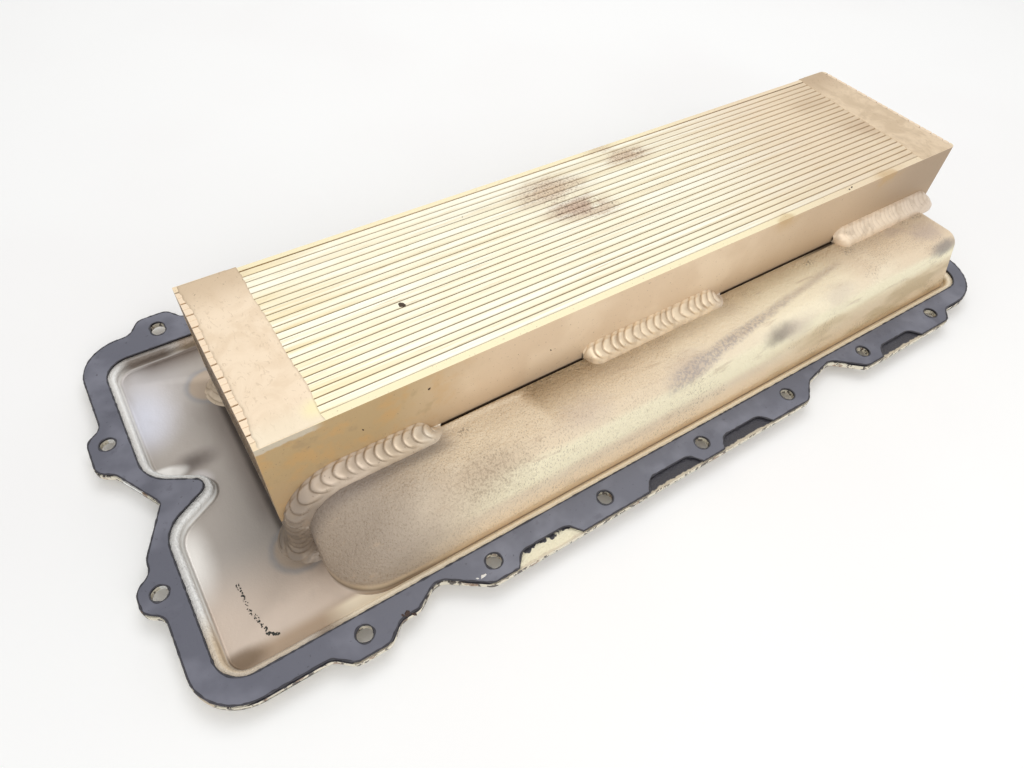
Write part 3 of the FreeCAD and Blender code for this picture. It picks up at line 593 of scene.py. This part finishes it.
sheet_metal = pressed_sheet()
wear(sheet_metal, "cover_pan")
wear(gasket_rubber(), "gasket")
bars = core_bars()
wear(bars, "coolant_top_bars", "oil_top_bars", "left_oil_end_bars", "right_oil_end_bars",
     "coolant_bottom_bars", "oil_bottom_bars")
wear(core_plate(), "front_side_plate", "back_side_plate")
left_skin = braze("braze_left", linear(241, 220, 192), linear(232, 209, 179), linear(203, 178, 146))
right_skin = braze("braze_right", linear(222, 199, 168), linear(204, 180, 148), linear(184, 158, 126))
wear(left_skin, "left_braze_overlay")
wear(right_skin, "right_braze_overlay")
wear(inner_metal(), "parting_sheets", "coolant_fins", "oil_turbulators")
wear(cast_metal(), "oil_inlet_header", "oil_outlet_header")


# ---- Pieces built here ----
def piece(name, points, faces, material):
    mesh = bpy.data.meshes.new(name)
    mesh.from_pydata([tuple(c * MM for c in p) for p in points], [], faces)
    mesh.update()
    for polygon in mesh.polygons:
        polygon.use_smooth = True
    mesh.materials.append(material)
    thing = bpy.data.objects.new(name, mesh)
    bpy.context.scene.collection.objects.link(thing)
    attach(thing, "root")
    return thing


def scoop(place):
    """Where a point of a ridge goes when its nose is drawn down, away from the bead."""
    x, y, z = (c / MM for c in place)
    out = min(y, 2 * CORE_MID - y)
    if not (RIDGE_LEFT - 1 < x < SCOOP_END and RIDGE_FOOT < out < SCOOP_NEAR and z > FLOOR):
        return place
    turn = min(NOSE_CORNER, max(0.0, SCOOP_TURN - out))
    edge = RIDGE_LEFT + NOSE_CORNER - math.sqrt(NOSE_CORNER ** 2 - turn ** 2)
    reach = min(1.0, max(0.0, (x - edge) / SCOOP_LENGTH))
    low = max(0.02, math.sin(math.pi / 2 * reach) ** 0.85)
    run = min(1.0, max(0.02, (x - RIDGE_LEFT) / NOSE_ROUND))
    high = math.sqrt(1 - (1 - run) ** 2)
    share = min(1.0, low / high)
    sideways = min(1.0, max(0.0, (SCOOP_NEAR - out) / (SCOOP_NEAR - SCOOP_FULL)))
    along = min(1.0, max(0.0, (SCOOP_END - x) / (SCOOP_END - SCOOP_START)))
    weight = ease(sideways) * ease(along)
    return Vector((x, y, FLOOR + (z - FLOOR) * (1 - weight * (1 - share)))) * MM


def scooped_cover():
    """The cover's own sheet with finer faces on its ridge noses, which are drawn down to low scoops."""
    form = bmesh.new()
    form.from_mesh(nodes["cover_pan"].data)

    def bends(edge):
        ends = [vertex.co / MM for vertex in edge.verts]
        outs = [min(end.y, 2 * CORE_MID - end.y) for end in ends]
        return (min(end.x for end in ends) < SCOOP_END + 6 and max(end.z for end in ends) > FLOOR + 0.3
                and min(outs) < SCOOP_NEAR + 2 and max(outs) > RIDGE_FOOT)

    for _ in range(7):
        long = [edge for edge in form.edges if edge.calc_length() > FINE_EDGE * MM and bends(edge)]
        if not long:
            break
        bmesh.ops.subdivide_edges(form, edges=long, cuts=1)
        bmesh.ops.triangulate(form, faces=[face for face in form.faces if len(face.verts) > 3])
    for vertex in form.verts:
        vertex.co = scoop(vertex.co)
    bmesh.ops.remove_doubles(form, verts=form.verts, dist=0.02 * MM)
    bmesh.ops.dissolve_degenerate(form, edges=form.edges, dist=0.01 * MM)
    mesh = bpy.data.meshes.new("cover_sheet")
    form.to_mesh(mesh)
    form.free()
    for polygon in mesh.polygons:
        polygon.use_smooth = True
    mesh.set_sharp_from_angle(angle=math.radians(28))
    mesh.materials.clear()
    mesh.materials.append(sheet_metal)
    thing = bpy.data.objects.new("cover_sheet", mesh)
    bpy.context.scene.collection.objects.link(thing)
    even = thing.modifiers.new("even_shading", "WEIGHTED_NORMAL")
    even.keep_sharp = True
    even.weight = 80
    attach(thing, "root")
    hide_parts("cover_pan")


scooped_cover()


def bead_route(start, end, climbs):
    """Points (place, way outwards) along a bead, on the corner line of ridge and core."""
    step = BEAD_STEP
    route = []
    if climbs:
        low = FLOOR
        high = RIDGE_TOP - NOSE_ROUND
        rise = int((high - low) / step)
        for i in range(rise):
            route.append(((RIDGE_LEFT, low + i * step), (-1.0, 0.0)))
        turns = int(NOSE_ROUND * math.pi / 2 / step)
        for i in range(turns):
            angle = math.pi - math.pi / 2 * i / turns
            way = (math.cos(angle), math.sin(angle))
            x = RIDGE_LEFT + NOSE_ROUND + way[0] * NOSE_ROUND
            route.append(((x, high + way[1] * NOSE_ROUND), way))
        start = RIDGE_LEFT + NOSE_ROUND
    count = int((end - start) / step)
    for i in range(count + 1):
        route.append(((start + (end - start) * i / count, RIDGE_TOP), (0.0, 1.0)))
    return route


def rippled_bead(name, node, start, end, climbs, material, seed, back, depth, pitch):
    """Stitch weld with crescent ripples that bulge towards its left end, and a foot on the floor."""
    route = bead_route(start, end, climbs)
    length = len(route) * BEAD_STEP
    columns = BEAD_COLUMNS
    points = []
    ripple_shades = []
    alongs = []
    for row, ((x, z), way) in enumerate(route):
        s = row * BEAD_STEP
        free = 1.0 if climbs and z < CORE_BOTTOM - 1 else 0.0
        widest = 100 + 100 * free
        for column in range(columns):
            angle = math.radians(-14 + (widest + 14) * column / (columns - 1))
            u = max(0.0, min(1.0, math.degrees(angle) / 90))
            if u < CREST:
                lag = 8.5 * ((CREST - u) / CREST) ** 2
            else:
                lag = 4.2 * ((u - CREST) / (1 - CREST)) ** 2
            drift = 0.5 * noise.noise(Vector((s * 0.07, seed, 0.3)))
            behind = s - lag
            if climbs and behind < CLOSE_SET:
                phase = behind / (pitch * CLOSE_PITCH) + drift
            elif climbs:
                phase = CLOSE_SET / (pitch * CLOSE_PITCH) + (behind - CLOSE_SET) / pitch + drift
            else:
                phase = behind / pitch + drift
            part = phase - math.floor(phase)
            lift = math.sin(math.pi * part ** 0.5)
            toe = max(0.0, min(1.0, (u - 0.14) / 0.26))
            fade = ease(toe) * (1.0 if u < 0.9 else 0.5)
            if climbs and s < CLOSE_SET:
                fade = max(fade, 0.8)
            local = 0.75 + 0.7 * noise.noise(Vector((math.floor(phase) * 0.7, seed * 3.1, 1.7)))
            uneven = 0.35 * noise.noise(Vector((s * 0.18, u * 2.0, seed)))
            height = depth * fade * max(0.3, local) * lift
            flatter = 0.07 * math.sin(2 * min(angle, math.pi / 2))
            body = BEAD_RADIUS * (1 - flatter) - depth * 0.8
            tail = 6.0 * (1 - u) ** 1.5
            to_end = (length - 7 + tail - s) / 9.0
            to_start = 9.0 if climbs else (s + 1.0 - 2.0 * (1 - u)) / 8.0
            near_end = min(1.0, max(0.0004, to_end), max(0.0004, to_start))
            taper = math.sqrt(max(0.0, 1 - (1 - near_end) ** 2))
            flare = FOOT_FLARE * math.exp(-(z - FLOOR) / FOOT_HEIGHT) if climbs else 0.0
            r = (body + height + uneven + flare) * taper
            y = CORE_FRONT - math.cos(angle) * r
            px = x + way[0] * math.sin(angle) * r
            pz = z + way[1] * math.sin(angle) * r
            if back:
                y = 2 * CORE_MID - y
            points.append((px, y, max(pz, FLOOR - 0.2)))
            # Painted shade of the ripples: a thin line at each ripple's edge and broader shade down its
            # falling side
            edge = math.exp(-(min(part, 1 - part) / 0.085) ** 2)
            slope = 0.55 * max(0.0, part - 0.35) / 0.65
            ripple_shades.append(min(1.0, edge + slope) * fade * taper * min(1.0, depth / 0.6))
            alongs.append(s)
    faces = []
    for row in range(len(route) - 1):
        for column in range(columns - 1):
            a = row * columns + column
            quad = (a, a + 1, a + columns + 1, a + columns)
            faces.append(quad if back else quad[::-1])
    thing = piece(name, points, faces, material)
    for key, values in (("ripple_shade", ripple_shades), ("along", alongs)):
        attribute = thing.data.attributes.new(key, "FLOAT", "POINT")
        attribute.data.foreach_set("value", values)
    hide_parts(node)


# The last colour of each weld is its painted shade between the ripples
scorched = weld_metal("weld_scorched", (
    (0, 0, linear(132, 119, 106)), (14, 34, linear(160, 145, 130)), (34, 58, linear(208, 190, 170)),
    (60, 84, linear(216, 197, 172)), (92, 108, linear(238, 225, 205))), linear(122, 103, 82))
tanned = weld_metal("weld_tanned", (
    (0, 0, linear(206, 188, 164)), (14, 34, linear(188, 170, 148)),
    (60, 84, linear(216, 197, 172))), linear(140, 120, 96))
clean_weld = weld_metal("weld_pale", ((0, 0, linear(246, 226, 196)), (90, 106, linear(226, 212, 196))),
                        linear(158, 132, 102))
dull_weld = weld_metal("weld_dull", ((0, 0, linear(246, 226, 200)), (40, 90, linear(224, 206, 186))),
                       linear(170, 148, 124))
for side, back in (("front", False), ("back", True)):
    rippled_bead(side + "_left_ripples", side + "_left_weld_bead", 0, -130.5, True,
                 tanned if back else scorched, 1.0 + back, back, 1.15, 5.2)
    rippled_bead(side + "_middle_ripples", side + "_middle_weld_bead", -38.5, 70.0, False, clean_weld,
                 5.0 + back, back, 1.0, 5.3)
    rippled_bead(side + "_right_ripples", side + "_right_weld_bead", 173.0, 278.5, False, dull_weld,
                 9.0 + back, back, 0.22, 4.2)


def braze_smear(name, node, edges, material, seed):
    """Uneven brazed skin across the bar ends, given by its left and right edge as functions of y."""
    rows = 150
    columns = 26
    margin = 0.35
    shoulder = 1.6
    front = CORE_FRONT + margin
    back = CORE_BACK - margin
    base = CORE_TOP - 1.4
    points = []
    for row in range(rows + 1):
        y = front + (back - front) * row / rows
        left, right = (edge(y) for edge in edges)
        for column in range(columns + 1):
            x = left + (right - left) * column / columns
            inside = min(x - left, right - x, y - front, back - y)
            rise = ease(max(0.0, min(1.0, inside / shoulder)))
            rough = noise.noise(Vector((x * 0.16, y * 0.12, seed)))
            points.append((x, y, CORE_TOP + 0.03 + rise * (0.17 + 0.09 * rough)))
    faces = []
    for row in range(rows):
        for column in range(columns):
            a = row * (columns + 1) + column
            faces.append((a, a + 1, a + columns + 2, a + columns + 1))
    rim = list(range(columns + 1))
    rim += [r * (columns + 1) + columns for r in range(1, rows + 1)]
    rim += [rows * (columns + 1) + c for c in range(columns - 1, -1, -1)]
    rim += [r * (columns + 1) for r in range(rows - 1, 0, -1)]
    low = len(points)
    for i in rim:
        points.append((points[i][0], points[i][1], base))
    for k, i in enumerate(rim):
        j = (k + 1) % len(rim)
        faces.append((rim[j], i, low + k, low + j))
    thing = piece(name, points, faces, material)
    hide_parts(node)


def ragged(x, lean, swing, seed):
    """Edge that starts at x, leans across the core and wanders by up to swing."""
    def at(y):
        wide = noise.noise(Vector((y * 0.045, seed, 0.0)))
        close = noise.noise(Vector((y * 0.30, seed, 4.0)))
        return x + lean * (y - CORE_MID) + swing * (wide * 1.3 + close * 0.5)
    return at


braze_smear("left_braze_smear", "left_braze_overlay",
            (ragged(-218.4, 0.0, 1.7, 2.0), ragged(-187.6, 0.0, 1.1, 3.0)), left_skin, 2.0)
braze_smear("right_braze_smear", "right_braze_overlay",
            (ragged(247.0, 0.05, 1.6, 6.0), ragged(276.6, 0.0, 0.8, 7.0)), right_skin, 6.0)


def rim_loops(node, height):
    """Closed lines where the top face of a flat node ends, in millimetres."""
    mesh = nodes[node].data
    sides = {}
    for polygon in mesh.polygons:
        if polygon.normal.z > 0.9 and abs(polygon.center.z / MM - height) < 0.01:
            for key in polygon.edge_keys:
                a, b = (tuple(round(c / MM, 3) for c in mesh.vertices[i].co) for i in key)
                pair = (a, b) if a < b else (b, a)
                sides[pair] = sides.get(pair, 0) + 1
    nexts = {}
    for (a, b), count in sides.items():
        if count == 1:
            nexts.setdefault(a, []).append(b)
            nexts.setdefault(b, []).append(a)
    loops = []
    seen = set()
    for first in sorted(nexts):
        if first in seen:
            continue
        loop = [first]
        seen.add(first)
        here = first
        while True:
            onward = [n for n in nexts[here] if n not in seen]
            if not onward:
                break
            here = onward[0]
            seen.add(here)
            loop.append(here)
        loops.append(loop)
    return loops


def even_steps(loop, step):
    """The same closed line with its points about one step apart."""
    out = []
    for a, b in zip(loop, loop[1:] + loop[:1]):
        gap = math.dist(a, b)
        count = max(1, round(gap / step))
        if gap < step * 0.3:
            continue
        for i in range(count):
            t = i / count
            out.append(tuple(p + (q - p) * t for p, q in zip(a, b)))
    return out


def gasket_lip():
    """Ragged dark lip round every edge of the gasket."""
    points = []
    faces = []
    around = 6
    for number, loop in enumerate(rim_loops("gasket", GASKET_TOP)):
        line = even_steps(loop, 2.0)
        start = len(points)
        for i, here in enumerate(line):
            before = Vector(line[i - 1])
            after = Vector(line[(i + 1) % len(line)])
            way = (after - before).normalized()
            across = Vector((-way.y, way.x, 0))
            rough = noise.noise(Vector((here[0] * 0.35, here[1] * 0.35, number * 3.0)))
            size = 0.42 + 0.22 * max(-0.8, rough * 1.6)
            for k in range(around):
                turn = 2 * math.pi * k / around
                off = across * math.cos(turn) * size * 1.25 + Vector((0, 0, math.sin(turn) * size * 0.8))
                points.append(tuple(Vector(here) + off - Vector((0, 0, 0.12))))
        count = len(line)
        for i in range(count):
            for k in range(around):
                a = start + i * around + k
                b = start + i * around + (k + 1) % around
                c = start + ((i + 1) % count) * around + (k + 1) % around
                d = start + ((i + 1) % count) * around + k
                faces.append((a, b, c, d))
    piece("gasket_lip", points, faces, edge_lip())


gasket_lip()


def flakes(name, marks, up, colour):
    """Thin irregular crumbs lying on a surface, each given as (place, size)."""
    s = Surface(name + "_look")
    s.paint(1.0, colour)
    lighter = tuple(min(1.0, c * 2.2) for c in colour[:3]) + (1.0,)
    s.paint(s.ramp(s.noise(1.0, 3.0), 0.5, 0.7), lighter, 0.6)
    s.bump(s.noise(0.4, 2.0), 0.1, 0.5)
    material = s.done(0.0, 0.7)
    rng = random.Random(len(marks) * 7 + len(name))
    up = Vector(up)
    side = up.orthogonal().normalized()
    other = up.cross(side)
    points = []
    faces = []
    for place, size in marks:
        corners = rng.randint(6, 9)
        spin = rng.uniform(0, math.pi)
        long_way = rng.uniform(1.1, 2.0)
        start = len(points)
        rims = []
        for i in range(corners):
            turn = 2 * math.pi * i / corners
            reach = size * rng.uniform(0.55, 1.1)
            a = math.cos(turn) * reach * long_way
            b = math.sin(turn) * reach
            rims.append(side * (a * math.cos(spin) - b * math.sin(spin))
                        + other * (a * math.sin(spin) + b * math.cos(spin)))
        base = Vector(place)
        for rim in rims:
            points.append(tuple(base + rim - up * 0.05))
        for rim in rims:
            points.append(tuple(base + rim * 0.8 + up * rng.uniform(0.12, 0.3)))
        points.append(tuple(base + up * 0.25))
        for i in range(corners):
            j = (i + 1) % corners
            faces.append((start + i, start + j, start + corners + j, start + corners + i))
            faces.append((start + corners + i, start + corners + j, start + 2 * corners))
    piece(name, points, faces, material)


scratch = []
rng = random.Random(4)
for (x0, y0), (x1, y1), count, size in (
        ((-252.5, -66.5), (-252.0, -76.0), 15, 0.5), ((-252.0, -76.0), (-251.5, -86.0), 14, 0.4),
        ((-250.5, -86.0), (-248.3, -97.0), 22, 0.5), ((-249.0, -98.5), (-243.6, -101.5), 22, 0.65)):
    for i in range(count):
        t = i / max(1, count - 1)
        x = x0 + (x1 - x0) * t + rng.uniform(-0.8, 0.8)
        y = y0 + (y1 - y0) * t + rng.uniform(-0.6, 0.6)
        scratch.append(((x, y, FLOOR), size * rng.uniform(0.5, 1.2)))
flakes("scratch_marks", scratch, (0, 0, 1), linear(42, 44, 38))
top_marks = [((-124.9, -10.2, CORE_TOP), 2.0), ((170.0, -57.8, CORE_TOP), 0.8),
             ((173.2, -57.0, CORE_TOP), 0.7), ((26.5, 5.6, CORE_TOP), 0.6),
             ((-60.0, 38.0, CORE_TOP), 0.4)]
flakes("top_specks", top_marks, (0, 0, 1), linear(60, 46, 28))
face_marks = [((-135.9, CORE_FRONT, 78.5), 1.1), ((-62.0, CORE_FRONT, 66.0), 0.6),
              ((-172.0, CORE_FRONT, 70.0), 0.5)]
flakes("face_specks", face_marks, (0, -1, 0), linear(70, 48, 30))
rim_marks = [((-187.6, -127.6, GASKET_TOP), 2.2), ((-185.2, -129.6, GASKET_TOP), 1.1),
             ((-190.0, -127.4, GASKET_TOP), 0.7)]
flakes("rust_crumbs", rim_marks, (0, 0, 1), linear(58, 42, 36))
paint_marks = [((-146.6, -130.3, GASKET_TOP), 1.15), ((-149.6, -130.0, GASKET_TOP), 0.5)]
flakes("paint_fleck", paint_marks, (0, 0, 1), linear(228, 224, 216))

# ---- Floor, light and camera ----
floor_look = Surface("floor_look")
floor_look.paint(1.0, linear(254, 254, 253))
floor_look.paint(floor_look.ramp(floor_look.noise(300.0, 2.0), 0.4, 0.7), linear(252, 251, 250))
floor_look.bump(floor_look.noise(8.0, 2.0), 0.05, 0.2)
floor_material = floor_look.done(0.0, 0.6)
floor_mesh = bpy.data.meshes.new("floor")
floor_mesh.from_pydata([(-6, -6, 0), (6, -6, 0), (6, 6, 0), (-6, 6, 0)], [], [(0, 1, 2, 3)])
floor_mesh.materials.append(floor_material)
floor = bpy.data.objects.new("floor", floor_mesh)
bpy.context.scene.collection.objects.link(floor)

world = bpy.data.worlds.new("studio")
bpy.context.scene.world = world
world.use_nodes = True
tree = world.node_tree
background = tree.nodes["Background"]
background.inputs["Color"].default_value = (1.0, 1.0, 1.0, 1.0)
paths = tree.nodes.new("ShaderNodeLightPath")
seen = tree.nodes.new("ShaderNodeMath")
seen.operation = "MAXIMUM"
tree.links.new(paths.outputs["Is Camera Ray"], seen.inputs[0])
tree.links.new(paths.outputs["Is Glossy Ray"], seen.inputs[1])
more = tree.nodes.new("ShaderNodeMath")
more.operation = "MAXIMUM"
tree.links.new(seen.outputs[0], more.inputs[0])
tree.links.new(paths.outputs["Is Transmission Ray"], more.inputs[1])
level = tree.nodes.new("ShaderNodeMapRange")
level.inputs["To Min"].default_value = 0.64
level.inputs["To Max"].default_value = 1.0
tree.links.new(more.outputs[0], level.inputs["Value"])
tree.links.new(level.outputs[0], background.inputs["Strength"])


def soft_lamp(name, place, aim, size, power):
    data = bpy.data.lights.new(name, "AREA")
    data.shape = "RECTANGLE"
    data.size, data.size_y = size
    data.energy = power
    lamp = bpy.data.objects.new(name, data)
    lamp.location = place
    lamp.rotation_euler = (Vector(aim) - Vector(place)).to_track_quat("-Z", "Y").to_euler()
    bpy.context.scene.collection.objects.link(lamp)


soft_lamp("key", (0.35, 0.55, 1.35), (0, 0, 0.04), (1.3, 0.9), 6.5)
soft_lamp("front", (-0.25, -1.15, 0.75), (0, 0, 0.04), (1.1, 0.7), 5.5)

FOCAL_PIXELS = 718.57
FRAME_WIDTH = 1024
camera_data = bpy.data.cameras.new("camera")
camera_data.sensor_width = 36.0
camera_data.lens = FOCAL_PIXELS / FRAME_WIDTH * camera_data.sensor_width
camera_data.clip_start = 0.01
camera = bpy.data.objects.new("camera", camera_data)
right = Vector((0.84026, -0.54020, 0.04628))
down = Vector((-0.38966, -0.66104, -0.64124))
forward = Vector((0.37699, 0.52078, -0.76594))
turn = Matrix((right, -down, -forward)).transposed().to_4x4()
camera.matrix_world = Matrix.Translation(Vector((-0.23315, -0.26282, 0.35070))) @ turn
bpy.context.scene.collection.objects.link(camera)
bpy.context.scene.camera = camera
bpy.context.scene.view_settings.view_transform = "Standard"
